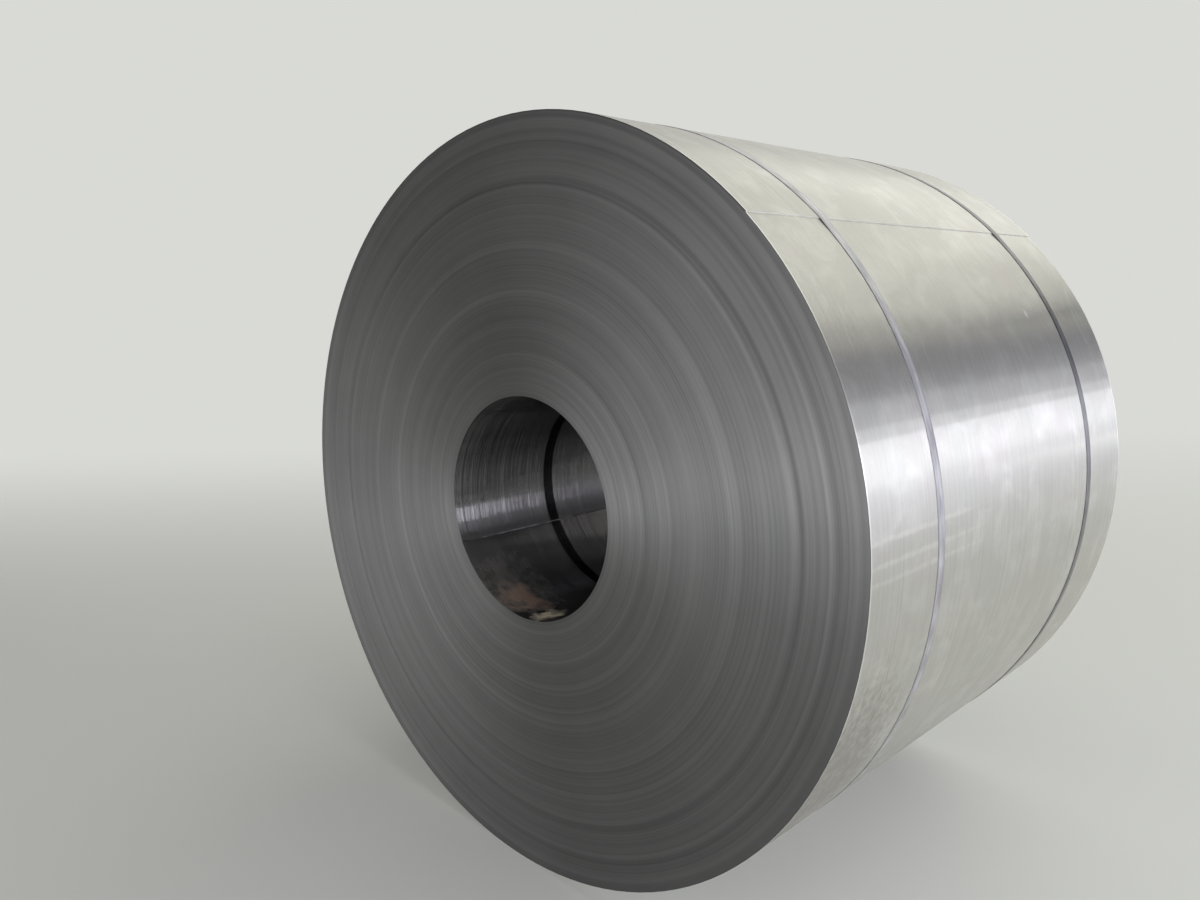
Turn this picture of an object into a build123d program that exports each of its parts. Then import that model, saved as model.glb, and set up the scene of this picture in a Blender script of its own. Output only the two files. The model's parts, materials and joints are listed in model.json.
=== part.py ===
"""Cold rolled steel coil, lying on its side, with two steel straps round it.

The coil's axis runs along Y and its front end looks along -Y. Z is up and z = 0 is the floor.
The origin is on the floor, in the middle of the whole coil. All sizes are in millimetres and
all angles in degrees, turned about the axis from +X towards +Z.
"""
import os
from math import acos, atan, cos, degrees, radians, sin, tan

from build123d import *

# The wound strip
strip_width = 1265.0
strip_thickness = 2.0
outer_diameter = 1700.0
bore_diameter = 508.0

# Where the strip ends: its tail lies outside, its head inside the bore
tail_angle = 50.0
head_angle = 210.0

# Groups of turns: each one's outer edge, as a share of the build-up from the bore to the
# outside, and how far that group is shifted along +Y
turn_groups = [
    (0.06, 1.4),
    (0.11, 0.6),
    (0.18, 1.1),
    (0.29, 0.3),
    (0.38, 0.9),
    (0.53, 0.5),
    (0.61, 1.2),
    (0.76, 0.7),
    (0.785, 2.5),
    (0.88, 0.9),
    (0.91, 1.6),
    (0.95, 0.4),
    (1.0, 0.0),
]

# The straps, their lapped ends and the seals crimped over them
strap_width = 25.4
strap_thickness = 0.9
strap_lap = 150.0
front_strap_inset = 281.0
rear_strap_inset = 223.0
front_strap_tilt = 2.2
rear_strap_tilt = 0.0
strap_lean_angle = 52.0
front_seal_angle = 112.0
rear_seal_angle = 119.0
seal_length = 50.0
seal_gauge = 1.2
seal_clearance = 0.3
seal_fit = 0.05
crimp_length = 6.0
crimp_depth = 2.6
crimp_spacing = 22.0

bore_radius = bore_diameter / 2
outer_radius = outer_diameter / 2
build_up = outer_radius - bore_radius
quarter_turn = 90.0
turn_quarters = 4
cutter_margin = 5.0


def direction(angle):
    """Unit vector square to the axis, at this angle, in the plane of the coil's section."""
    return Vector(cos(radians(angle)), sin(radians(angle)))


def wrap_arc(quarter):
    """Centre and radius of one quarter of the outermost turn.

    The turn is a scroll: four tangent arcs whose centres are the corners of a small square on
    the axis, so that its radius loses one strip thickness from the tail round to the tail.
    """
    side = strip_thickness / turn_quarters
    centre = (direction(tail_angle) - direction(tail_angle + quarter_turn)) * (side / 2)
    for corner in range(1, quarter + 1):
        centre += direction(tail_angle + corner * quarter_turn) * side
    radius = outer_radius - side * (quarter + 0.5)
    return centre, radius


def wrap_arc_at(angle):
    """Centre and radius of the outermost turn's arc that this angle falls in."""
    return wrap_arc(int((angle - tail_angle) % 360.0 // quarter_turn))


def wrap_edges(grow, left_out):
    """Arcs of the outermost turn, this far outside the strip, less an angle at their end."""
    edges = []
    for quarter in range(turn_quarters):
        centre, radius = wrap_arc(quarter)
        start = tail_angle + quarter * quarter_turn
        is_last = quarter == turn_quarters - 1
        sweep = quarter_turn - (left_out if is_last else 0.0)
        edges.append(CenterArc(centre, radius + grow, start, sweep))
    return edges


def bridge_angle():
    """Angle over which a tight band leaves the surface, to reach over the tail's edge."""
    radius = wrap_arc(turn_quarters - 1)[1]
    return degrees(acos(radius / (radius + strip_thickness)))


def wrap_section():
    """Section through the whole coil, bore filled, with the step at the strip's tail."""
    edges = wrap_edges(0.0, 0.0)
    step = Line(edges[-1] @ 1, edges[0] @ 0)
    return make_face(Wire(edges + [step]))


def band_section(grow):
    """Section inside a tight band's face that lies this far off the strip.

    The band follows the scroll and runs straight from the tail's edge to the turn below.
    """
    edges = wrap_edges(grow, bridge_angle())
    corner = wrap_edges(0.0, 0.0)[0] @ 0
    bridge_end = corner + direction(tail_angle - bridge_angle()) * grow
    edges.append(Line(edges[-1] @ 1, bridge_end))
    if grow > 0:
        bend_middle = corner + direction(tail_angle - bridge_angle() / 2) * grow
        edges.append(ThreePointArc(bridge_end, bend_middle, edges[0] @ 0))
    return make_face(Wire(edges))


def along_axis(section, middle, length):
    """Prism of a section of the coil, centred on this place along the axis."""
    prism = extrude(Plane.XZ * section, length / 2, both=True)
    return Pos(0, middle, 0) * prism


def wound_strip():
    """The coil: a turned solid with its groups of turns, the tail's step and the head's gap."""
    front = []
    rear = []
    inner = bore_radius
    for share, shift in turn_groups:
        outer = bore_radius + build_up * share
        if share == turn_groups[-1][0]:
            outer += cutter_margin
        front += [(inner, shift - strip_width / 2), (outer, shift - strip_width / 2)]
        rear += [(inner, shift + strip_width / 2), (outer, shift + strip_width / 2)]
        inner = outer
    turned = revolve(make_face(Polyline(*front, *reversed(rear), close=True)), Axis.Y)
    outline = along_axis(wrap_section(), 0, 2 * strip_width)
    return turned & outline - along_axis(head_gap_section(), 0, 2 * strip_width)


def head_gap_section():
    """Section of the gap where the second turn climbs over the strip's head."""
    climb = bore_radius + strip_thickness
    lift_off = head_angle + degrees(acos(bore_radius / climb))
    return make_face(
        Polyline(
            direction(head_angle) * bore_radius,
            direction(head_angle) * climb,
            direction(lift_off) * bore_radius,
            close=True,
        )
    )


def arc_block(angle, length, width, inner, outer, middle):
    """Curved block on the outermost turn, between two distances off the strip."""
    centre, radius = wrap_arc_at(angle)
    sweep = degrees(length / radius)
    ring = make_face(Circle(radius + outer).edge()) - make_face(Circle(radius + inner).edge())
    far = 2 * radius
    wedge = make_face(
        Polyline(
            Vector(0, 0),
            direction(angle - sweep / 2) * far,
            direction(angle + sweep / 2) * far,
            close=True,
        )
    )
    return along_axis(Pos(centre.X, centre.Y) * (ring & wedge), middle, width)


def strap_place(middle, tilt, angle):
    """Place along the axis of a strap that is tilted from square, at this angle."""
    lean = outer_radius * tan(radians(tilt))
    return middle - lean * cos(radians(angle - strap_lean_angle))


def strap_slope(tilt, angle):
    """Angle by which a tilted strap runs along the axis as it goes round, at this angle."""
    return degrees(atan(tan(radians(tilt)) * sin(radians(angle - strap_lean_angle))))


def strap(middle, tilt, seal_angle):
    """Tight steel strap: a band round the coil whose two ends lap under the seal.

    It is cut from a wider band by a slab of the strap's own width that leans by the tilt.
    """
    room = strap_width + 2 * outer_diameter * tan(radians(tilt))
    band = along_axis(band_section(strap_thickness) - band_section(0.0), middle, room)
    lap = arc_block(seal_angle, strap_lap, room, strap_thickness, 2 * strap_thickness, middle)
    slab = Box(2 * outer_diameter, strap_width, 2 * outer_diameter)
    leaning = Pos(0, middle, 0) * Rot(0, -strap_lean_angle, 0) * Rot(0, 0, -tilt)
    return (band + lap) & leaning * slab


def square_seal(seal_angle):
    """Seal over the coil's middle: a sleeve folded down over both layers of strap.

    Each of its sides has two crimps.
    """
    inner_width = strap_width + 2 * seal_clearance
    outer_width = inner_width + 2 * seal_gauge
    lap_top = 2 * strap_thickness + seal_fit
    sleeve = arc_block(
        seal_angle, seal_length, outer_width, seal_clearance, lap_top + seal_gauge, 0
    )
    sleeve -= arc_block(seal_angle, 2 * seal_length, inner_width, 0.0, lap_top, 0)
    radius = wrap_arc_at(seal_angle)[1]
    for place in (-crimp_spacing / 2, crimp_spacing / 2):
        crimp_angle = seal_angle + degrees(place / radius)
        for side in (-1, 1):
            crimp_middle = side * (outer_width - seal_gauge) / 2
            sleeve -= arc_block(
                crimp_angle, crimp_length, 2 * seal_gauge, 0.0, crimp_depth, crimp_middle
            )
    return sleeve


def seal(middle, tilt, seal_angle):
    """The seal in its place on a strap, turned to run along it."""
    sleeve_facing_x = Rot(0, seal_angle, 0) * square_seal(seal_angle)
    turned = Rot(-strap_slope(tilt, seal_angle), 0, 0) * sleeve_facing_x
    return Pos(0, strap_place(middle, tilt, seal_angle), 0) * Rot(0, -seal_angle, 0) * turned


def reach(angle):
    """How far the strapped coil reaches from its axis, in this direction."""
    centre, radius = wrap_arc_at(angle)
    return centre.dot(direction(angle)) + radius + strap_thickness


front_strap_middle = front_strap_inset - strip_width / 2
rear_strap_middle = strip_width / 2 - rear_strap_inset

parts = {
    "coil": wound_strip(),
    "strap_front": strap(front_strap_middle, front_strap_tilt, front_seal_angle),
    "strap_rear": strap(rear_strap_middle, rear_strap_tilt, rear_seal_angle),
    "seal_front": seal(front_strap_middle, front_strap_tilt, front_seal_angle),
    "seal_rear": seal(rear_strap_middle, rear_strap_tilt, rear_seal_angle),
}

# The coil lies on its straps, with the middle of the whole thing over the origin
largest_shift = max(shift for share, shift in turn_groups)
least_shift = min(shift for share, shift in turn_groups)
axis_x = (reach(180.0) - reach(0.0)) / 2
axis_z = reach(270.0)
middle_y = -(largest_shift + least_shift) / 2

os.makedirs("parts", exist_ok=True)
for name, solid in parts.items():
    export_step(Pos(axis_x, middle_y, axis_z) * solid, f"parts/{name}.step")
print(f"coil axis at x = {axis_x:.3f}, z = {axis_z:.3f}; middle of the strip at y = {middle_y:.3f}")
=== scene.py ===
"""Cold rolled steel coil on its side, held by two steel straps with crimped seals.

Lengths are in metres. Angles are in degrees, turned about the coil's axis from +X towards +Z.
The strip is followed from its tail, outside, to its head in the bore, and "turns" counts how
often it has gone round the axis since the tail.
"""
import json
import logging
from dataclasses import dataclass
from enum import Enum

import bpy
import numpy as np
from bpy.types import Material, Node, NodeSocket, NodeTree, Object
from mathutils import Matrix, Vector


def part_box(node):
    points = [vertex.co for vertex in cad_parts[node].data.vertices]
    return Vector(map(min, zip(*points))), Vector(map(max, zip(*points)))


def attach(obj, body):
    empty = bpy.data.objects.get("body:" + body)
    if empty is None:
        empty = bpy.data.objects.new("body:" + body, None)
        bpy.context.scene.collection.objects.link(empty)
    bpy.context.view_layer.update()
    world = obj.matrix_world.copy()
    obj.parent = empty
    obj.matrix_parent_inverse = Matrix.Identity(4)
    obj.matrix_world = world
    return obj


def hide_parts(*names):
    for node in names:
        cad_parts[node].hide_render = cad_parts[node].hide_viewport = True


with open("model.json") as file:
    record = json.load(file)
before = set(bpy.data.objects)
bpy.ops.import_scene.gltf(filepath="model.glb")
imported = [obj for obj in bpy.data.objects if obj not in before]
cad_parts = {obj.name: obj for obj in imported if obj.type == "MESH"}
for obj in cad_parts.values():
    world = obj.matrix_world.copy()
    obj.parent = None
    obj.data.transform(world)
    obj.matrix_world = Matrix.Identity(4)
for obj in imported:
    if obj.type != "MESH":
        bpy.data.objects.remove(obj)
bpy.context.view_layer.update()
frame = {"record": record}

log = logging.getLogger("steel_coil")

BODY = "root"
ACROSS_UV = "across_along"
EDGE_TONE = "edge_tone"
MM = 0.001


def linear(hex_colour: str) -> tuple[float, float, float, float]:
    """Turn an sRGB hex colour into linear RGBA.

    Args:
        hex_colour: the colour as "#rrggbb".

    Returns:
        Linear red, green and blue, and an alpha of 1.
    """
    channels = [int(hex_colour[place:place + 2], 16) / 255 for place in (1, 3, 5)]
    red, green, blue = (
        value / 12.92 if value <= 0.04045 else ((value + 0.055) / 1.055) ** 2.4
        for value in channels
    )
    return red, green, blue, 1.0


def smooth_step(value: np.ndarray) -> np.ndarray:
    """Rise from 0 to 1 while the value goes from 0 to 1, as 3v² - 2v³."""
    held = np.clip(value, 0.0, 1.0)
    return held * held * (3.0 - 2.0 * held)


def even_noise(rng: np.random.Generator, count: int, reach: float) -> np.ndarray:
    """Make smooth random values along a line, with a mean of 0 and a spread of 1.

    White noise is spread by a bell curve exp(-d²/2r²), where d counts places and r is reach.

    Args:
        rng: the seeded source of random numbers.
        count: how many values.
        reach: spread of the bell curve, in places along the line.

    Returns:
        One value for each place.
    """
    half = int(np.ceil(3 * reach))
    bell = np.exp(-0.5 * (np.arange(-half, half + 1) / reach) ** 2)
    noise = np.convolve(rng.normal(size=count + 2 * half), bell, mode="valid")
    return (noise - noise.mean()) / noise.std()


@dataclass(frozen=True)
class Winding:
    """The spiral that the strip is wound in, which straps and seals lie on.

    Attributes:
        axis_x: place of the axis across the floor.
        axis_z: height of the axis over the floor.
        bore_radius: inside of the innermost turn.
        outer_radius: outside of the outermost turn, at the tail.
        thickness: thickness of the strip.
        tail_angle: where the strip's outer end lies.
        head_angle: where its inner end lies.
        settling: turns over which the round layers on the mandrel become a spiral.
    """

    axis_x: float
    axis_z: float
    bore_radius: float
    outer_radius: float = 0.850
    thickness: float = 0.002
    tail_angle: float = 50.0
    head_angle: float = 210.0
    settling: float = 12.0

    @property
    def layers(self) -> int:
        """Number of whole turns from the tail to the bore."""
        return round((self.outer_radius - self.bore_radius) / self.thickness)

    @property
    def head_share(self) -> float:
        """Share of a turn by which the head lies past the tail."""
        return (self.head_angle - self.tail_angle) % 360.0 / 360.0

    def climb(self, radius: float) -> float:
        """Angle over which a layer leaves this radius to lie one strip higher."""
        return float(np.degrees(np.arccos(radius / (radius + self.thickness))))

    def radius(self, turns: np.ndarray) -> np.ndarray:
        """Radius of the strip's outer face.

        Outside it is a plain spiral, R - t * turns. The turns next to the bore lie on a round
        mandrel instead: they keep their radius round the whole turn and only change it where
        they run straight up over the strip's head, at r = bore / cos(angle to the bore).

        Args:
            turns: how often the strip has gone round since the tail.

        Returns:
            The radius at each of them.
        """
        share = turns - np.floor(turns)
        climb = self.climb(self.bore_radius)
        to_bore = np.clip((self.head_share - share) * 360.0 + climb, 0.0, climb)
        lifted = self.bore_radius / np.cos(np.radians(to_bore)) - self.bore_radius
        stepped = 1.0 - np.clip(lifted / self.thickness, 0.0, 1.0)
        stepped = np.where(share < self.head_share, 0.0, stepped)
        on_mandrel = np.exp(-np.maximum(self.layers - 1 - turns, 0.0) / self.settling)
        wound_in = share + on_mandrel * (stepped - share)
        return self.outer_radius - self.thickness * (np.floor(turns) + wound_in)

    def skin(self, angle: np.ndarray | float) -> np.ndarray:
        """Radius of the outermost turn at an angle, as R - t * share of the turn."""
        share = (angle - self.tail_angle) % 360.0 / 360.0
        return self.outer_radius - self.thickness * share

    def band(self, angle: np.ndarray) -> np.ndarray:
        """Radius of the inner face of a tight band round the coil.

        It follows the skin, and before the tail it runs straight from the turn below up to
        the tail's edge, at r = below / cos(angle since it left the skin).

        Args:
            angle: angle about the axis.

        Returns:
            The radius at each angle.
        """
        below = self.outer_radius - self.thickness
        climb = self.climb(below)
        since = (angle - self.tail_angle + climb) % 360.0
        bridge = below / np.cos(np.radians(np.minimum(since, climb)))
        return np.where(since < climb, bridge, self.skin(angle))

    def points(self, radius: np.ndarray, angle: np.ndarray, y: np.ndarray) -> np.ndarray:
        """Places given by radius, angle and distance along the axis, as x, y and z.

        x = axis_x + radius * cos(angle) and z = axis_z + radius * sin(angle).

        Args:
            radius: distance from the axis.
            angle: angle about the axis.
            y: place along the axis.

        Returns:
            The place for each of them, with x, y and z last.
        """
        turned = np.radians(angle)
        x = self.axis_x + radius * np.cos(turned)
        z = self.axis_z + radius * np.sin(turned)
        return np.stack(np.broadcast_arrays(x, y, z), axis=-1)


def mesh_piece(name: str, points: np.ndarray, quads: np.ndarray, uvs: np.ndarray,
               materials: list[Material], slots: np.ndarray | int = 0,
               sharp_angle: float = 30.0, caps: tuple[np.ndarray, ...] = ()) -> Object:
    """Make an object from whole arrays of points and faces.

    Args:
        name: the piece's name.
        points: places, one row each.
        quads: the four corners of each face, counter-clockwise from outside.
        uvs: for each corner of each quad, metres across and along the surface.
        materials: the piece's finishes.
        slots: for each quad, the number of its finish.
        sharp_angle: edges that bend more than this stay sharp, in degrees.
        caps: faces with more corners, which close the ends of a swept piece.

    Returns:
        The new object, at the origin.
    """
    mesh = bpy.data.meshes.new(name)
    corners = np.concatenate([quads.ravel(), *caps]).astype(np.int32)
    sizes = np.array([4] * len(quads) + [len(cap) for cap in caps])
    mesh.vertices.add(len(points))
    mesh.vertices.foreach_set("co", points.astype(np.float32).ravel())
    mesh.loops.add(len(corners))
    mesh.loops.foreach_set("vertex_index", corners)
    mesh.polygons.add(len(sizes))
    mesh.polygons.foreach_set("loop_start", np.concatenate([[0], np.cumsum(sizes)[:-1]]))
    mesh.polygons.foreach_set("use_smooth", np.ones(len(sizes), dtype=bool))
    slot_numbers = np.zeros(len(sizes), dtype=np.int32)
    slot_numbers[:len(quads)] = slots
    mesh.polygons.foreach_set("material_index", slot_numbers)
    uv_values = np.zeros((len(corners), 2), dtype=np.float32)
    uv_values[:4 * len(quads)] = uvs.reshape(-1, 2)
    mesh.uv_layers.new(name=ACROSS_UV).uv.foreach_set("vector", uv_values.ravel())
    mesh.update(calc_edges=True)
    mesh.validate()
    mesh.set_sharp_from_angle(angle=np.radians(sharp_angle))
    for material in materials:
        mesh.materials.append(material)
    piece = bpy.data.objects.new(name, mesh)
    bpy.context.scene.collection.objects.link(piece)
    return piece


def grid_quads(numbers: np.ndarray) -> np.ndarray:
    """Quads between the points of a grid, each from its first row and column onwards."""
    corners = (numbers[:-1, :-1], numbers[:-1, 1:], numbers[1:, 1:], numbers[1:, :-1])
    return np.stack(corners, axis=-1).reshape(-1, 4)


def swept_piece(name: str, points: np.ndarray, across: np.ndarray, along: np.ndarray,
                material: Material, sharp_angle: float) -> Object:
    """Close a section that is carried along a path into a piece, capped at both ends.

    Args:
        name: the piece's name.
        points: places, by step along the path and corner of the section.
        across: place of each corner across the section.
        along: place of each step along the path.
        material: the piece's finish.
        sharp_angle: edges that bend more than this stay sharp, in degrees.

    Returns:
        The new object, with across and along as its map.
    """
    numbers = np.arange(points.size // 3).reshape(points.shape[:2])
    beside = np.roll(numbers, -1, axis=1)
    quads = np.stack([numbers[:-1], numbers[1:], beside[1:], beside[:-1]],
                     axis=-1).reshape(-1, 4)
    flat = np.stack(np.broadcast_arrays(across, along[:, None]), axis=-1).reshape(-1, 2)
    return mesh_piece(name, points.reshape(-1, 3), quads, flat[quads], [material],
                      sharp_angle=sharp_angle, caps=(numbers[0], numbers[-1][::-1]))


class Nodes:
    """The nodes of one material, or of the world, in its emptied tree."""

    def __init__(self, tree: NodeTree) -> None:
        """Empty the tree."""
        self.tree = tree
        tree.nodes.clear()

    def add(self, kind: str, inputs: dict | None = None, **settings: object) -> Node:
        """Add one node, with its settings, its values and its links.

        Args:
            kind: the node's type after "ShaderNode", such as "Math".
            inputs: for each input, by name or number, a value, a hex colour, the output that
                it is linked from, or the node whose first output in use it is linked from.
            settings: the node's own properties.

        Returns:
            The new node.
        """
        node = self.tree.nodes.new(f"ShaderNode{kind}")
        for name, value in settings.items():
            setattr(node, name, value)
        for name, value in (inputs or {}).items():
            if isinstance(value, Node):
                value = next(output for output in value.outputs if output.enabled)
            if isinstance(value, NodeSocket):
                self.tree.links.new(value, node.inputs[name])
            else:
                plain = linear(value) if isinstance(value, str) else value
                node.inputs[name].default_value = plain
        return node

    def streaks(self, uv: Node, pitch: float, length: float, detail: float = 4.0,
                roughness: float = 0.65) -> Node:
        """Noise drawn out along the strip.

        Args:
            uv: place across and along the strip.
            pitch: real width of the streaks.
            length: real length of the streaks.
            detail: how many times finer noise is added.
            roughness: how strong the finer noise is.

        Returns:
            The noise, from 0 to 1.
        """
        scaled = self.add("VectorMath", {0: uv, 1: (1 / pitch, 1 / length, 1.0)},
                          operation="MULTIPLY")
        return self.add("TexNoise", {
            "Vector": scaled, "Scale": 1.0, "Detail": detail, "Roughness": roughness,
        }, noise_dimensions="2D")


@dataclass(frozen=True)
class Mark:
    """A scuff, scratch, stain or painted highlight at one place on the strip.

    Attributes:
        middle: its place across and along the strip, in metres.
        half: half of its width and of its length, in metres.
        colour: what the metal looks like there.
        strength: share of that colour in its middle.
        bend: how much it curves to one side along its length, per metre.
        dusty: whether it is matt dust or rust that covers the metal.
    """

    middle: tuple[float, float]
    half: tuple[float, float]
    colour: str
    strength: float
    bend: float = 0.0
    dusty: bool = False

    def share(self, nodes: Nodes, uv: Node, ragged: Node) -> Node:
        """How much of the mark there is at each place.

        It is strength * (1 - (across / half)² - (along / half)² - raggedness), held over 0,
        with across measured from the curve across = bend * along².

        Args:
            nodes: the finish's nodes.
            uv: place across and along the strip.
            ragged: noise round zero, which frays the outline.

        Returns:
            The share, from 0 to the mark's strength.
        """
        split = nodes.add("SeparateXYZ", {"Vector": uv}).outputs
        along = nodes.add("Math", {0: split["Y"], 1: self.middle[1]}, operation="SUBTRACT")
        squared = nodes.add("Math", {0: along, 1: along}, operation="MULTIPLY")
        curve = nodes.add("Math", {
            0: squared, 1: self.bend, 2: self.middle[0],
        }, operation="MULTIPLY_ADD")
        across = nodes.add("Math", {0: split["X"], 1: curve}, operation="SUBTRACT")
        offset = nodes.add("CombineXYZ", {"X": across, "Y": along})
        shares = nodes.add("VectorMath", {
            0: offset, 1: (1 / self.half[0], 1 / self.half[1], 0.0),
        }, operation="MULTIPLY")
        reach = nodes.add("VectorMath", {0: shares, 1: shares}, operation="DOT_PRODUCT")
        frayed = nodes.add("Math", {0: reach, 1: ragged}, operation="ADD")
        return nodes.add("MapRange", {
            "Value": frayed, "From Min": 1.0, "From Max": 0.0, "To Max": self.strength,
        })


@dataclass(frozen=True)
class Finish:
    """How a surface looks."""

    name: str

    def shader(self, nodes: Nodes) -> Node:
        """Add the finish's nodes, the last of them its shader."""
        raise NotImplementedError

    def material(self) -> Material:
        """Build the finish's material.

        Returns:
            The material.
        """
        material = bpy.data.materials.new(self.name)
        material.use_nodes = True
        nodes = Nodes(material.node_tree)
        nodes.add("OutputMaterial", {"Surface": self.shader(nodes)})
        return material


@dataclass(frozen=True)
class SlitEdges(Finish):
    """Slit edges of the strip, packed side by side on the coil's ends.

    Each edge was sheared: a bright cut band beside a dull torn one, so the end looks dark
    grey, drawn with fine rings, and its gleam spreads out from the bore as on a record.
    """

    name: str = "slit_edges_cold_rolled_steel"
    torn: str = "#565657"
    cut: str = "#989898"
    grime: float = 0.06
    grime_patch: float = 1 / 3
    roughness: float = 0.48
    spread: float = 0.06
    anisotropy: float = 0.80

    def shader(self, nodes: Nodes) -> Node:
        """Metal with its tone taken from the mesh's "edge_tone", and clouds of grime.

        Args:
            nodes: the finish's nodes.

        Returns:
            The shader.
        """
        tone = nodes.add("Attribute", attribute_name=EDGE_TONE).outputs["Fac"]
        place = nodes.add("TexCoord").outputs["Object"]
        clouds = nodes.add("TexNoise", {
            "Vector": place, "Scale": 1 / self.grime_patch, "Detail": 6.0, "Roughness": 0.6,
        })
        grimy = nodes.add("MapRange", {
            "Value": clouds, "From Min": 0.3, "From Max": 0.7, "To Min": -self.grime,
            "To Max": self.grime,
        })
        both = nodes.add("Math", {0: tone, 1: grimy}, operation="ADD")
        colour = nodes.add("Mix", {
            "Factor": both, "A": self.torn, "B": self.cut,
        }, data_type="RGBA")
        rough = nodes.add("MapRange", {
            "Value": tone, "To Min": self.roughness + self.spread,
            "To Max": self.roughness - self.spread,
        })
        tangent = nodes.add("Tangent", direction_type="UV_MAP", uv_map=ACROSS_UV)
        return nodes.add("BsdfPrincipled", {
            "Base Color": colour, "Metallic": 1.0, "Roughness": rough,
            "Anisotropic": self.anisotropy, "Tangent": tangent,
        })


@dataclass(frozen=True)
class RolledSkin(Finish):
    """Bare cold rolled strip, bright from polished rolls.

    The rolls leave fine lines along the strip. They mirror a lamp sharply round the coil and
    smear it along its axis, and a haze of coarser lines between them gives each reflection a
    soft glow. An uneven film of oil tints it faintly, and clouds where it was wiped are bare.

    Attributes:
        oil, wiped: shares of the oil's tints and of the burnished colour.
        haze, haze_swing: share of the soft glow, and how far the streaks change it.
        relief: depth of the streaks.
        oil, wiped: shares of the oil's tints and of the pale colour in the wiped clouds.
        rim_highlight_places, rim_highlight_width: painted highlights in that pale colour along
            the rims, as places across the strip.
    """

    name: str = "cold_rolled_skin_steel"
    dull: str = "#d2d1cf"
    bright: str = "#d9d8d6"
    pink_oil: str = "#dccfc9"
    green_oil: str = "#c8d2c1"
    oil: float = 0.35
    oil_patch: float = 160 * MM
    wiped_and_rim_highlight: str = "#f6f5f1"
    wiped: float = 0.45
    wiped_patch: float = 90 * MM
    mirror_roughness: float = 0.14
    haze_roughness: float = 0.45
    haze: float = 0.5
    haze_swing: float = 0.05
    streak_pitch: float = 7 * MM
    streak_length: float = 1400 * MM
    broad_pitch: float = 84 * MM
    broad_length: float = 560 * MM
    relief: float = 0.005 * MM
    fray: float = 16 * MM
    rim_highlight_places: tuple[float, ...] = ()
    rim_highlight_width: float = 4 * MM
    marks: tuple[Mark, ...] = ()

    def bare(self, nodes: Nodes, uv: Node, place: NodeSocket) -> Node:
        """Colour of the bare strip: streaks, a film of oil, wiped clouds and painted
        highlights at the rims.

        Args:
            nodes: the finish's nodes.
            uv: place across and along the strip.
            place: place on the object.

        Returns:
            The colour.
        """
        fine = nodes.streaks(uv, self.streak_pitch, self.streak_length)
        broad = nodes.streaks(uv, self.broad_pitch, self.broad_length)
        both = nodes.add("Mix", {"Factor": 0.5, "A": fine, "B": broad}, data_type="FLOAT")
        share = nodes.add("MapRange", {"Value": both, "From Min": 0.35, "From Max": 0.65})
        streaked = nodes.add("Mix", {
            "Factor": share, "A": self.dull, "B": self.bright,
        }, data_type="RGBA")
        film = nodes.add("TexNoise", {
            "Vector": place, "Scale": 1 / self.oil_patch, "Detail": 3.0, "Roughness": 0.6,
        })
        tint = nodes.add("Mix", {
            "Factor": film, "A": self.pink_oil, "B": self.green_oil,
        }, data_type="RGBA")
        colour = nodes.add("Mix", {
            "Factor": self.oil, "A": streaked, "B": tint,
        }, data_type="RGBA")
        clouds = nodes.add("TexNoise", {
            "Vector": place, "Scale": 1 / self.wiped_patch, "Detail": 5.0, "Roughness": 0.6,
            "Distortion": 0.6,
        })
        wiped = nodes.add("MapRange", {
            "Value": clouds, "From Min": 0.48, "From Max": 0.72, "To Max": self.wiped,
        })
        across = nodes.add("SeparateXYZ", {"Vector": uv}).outputs["X"]
        # Painted highlight: a band at each rim of the strip's width is mixed towards the pale
        # colour.
        at_rim_highlights = [
            nodes.add("Math", {0: across, 1: edge, 2: self.rim_highlight_width}, operation="COMPARE")
            for edge in self.rim_highlight_places
        ]
        for share in (wiped, *at_rim_highlights):
            colour = nodes.add("Mix", {
                "Factor": share, "A": colour, "B": self.wiped_and_rim_highlight,
            }, data_type="RGBA")
        return colour

    def normal(self, nodes: Nodes, uv: Node, fine: Node) -> Node:
        """Normal of the skin, with the streaks as a faint relief."""
        return nodes.add("Bump", {"Height": fine, "Strength": 1.0, "Distance": self.relief})

    def shader(self, nodes: Nodes) -> Node:
        """Two metals mixed, one glossier, on the map of metres across and along the strip.

        Args:
            nodes: the finish's nodes.

        Returns:
            The shader.
        """
        uv = nodes.add("UVMap", uv_map=ACROSS_UV)
        place = nodes.add("TexCoord").outputs["Object"]
        colour = self.bare(nodes, uv, place)
        noise = nodes.add("TexNoise", {"Vector": place, "Scale": 1 / self.fray, "Detail": 3.0})
        ragged = nodes.add("MapRange", {
            "Value": noise, "From Min": 0.3, "From Max": 0.7, "To Min": -0.5, "To Max": 0.5,
        })
        metal = 1.0
        for mark in self.marks:
            share = mark.share(nodes, uv, ragged)
            colour = nodes.add("Mix", {
                "Factor": share, "A": colour, "B": mark.colour,
            }, data_type="RGBA")
            if mark.dusty:
                metal = nodes.add("Math", {0: metal, 1: share},
                                  operation="SUBTRACT", use_clamp=True)
        fine = nodes.streaks(uv, self.streak_pitch, self.streak_length)
        tangent = nodes.add("Tangent", direction_type="UV_MAP", uv_map=ACROSS_UV)
        normal = self.normal(nodes, uv, fine)
        mirror, haze = (
            nodes.add("BsdfPrincipled", {
                "Base Color": colour, "Metallic": metal, "Roughness": roughness,
                "Anisotropic": 1.0, "Normal": normal, "Tangent": tangent,
            })
            for roughness in (self.mirror_roughness, self.haze_roughness)
        )
        hazy = nodes.add("MapRange", {
            "Value": fine, "From Min": 0.3, "From Max": 0.7,
            "To Min": self.haze - self.haze_swing, "To Max": self.haze + self.haze_swing,
        })
        return nodes.add("MixShader", {"Fac": hazy, 1: mirror, 2: haze})


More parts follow.
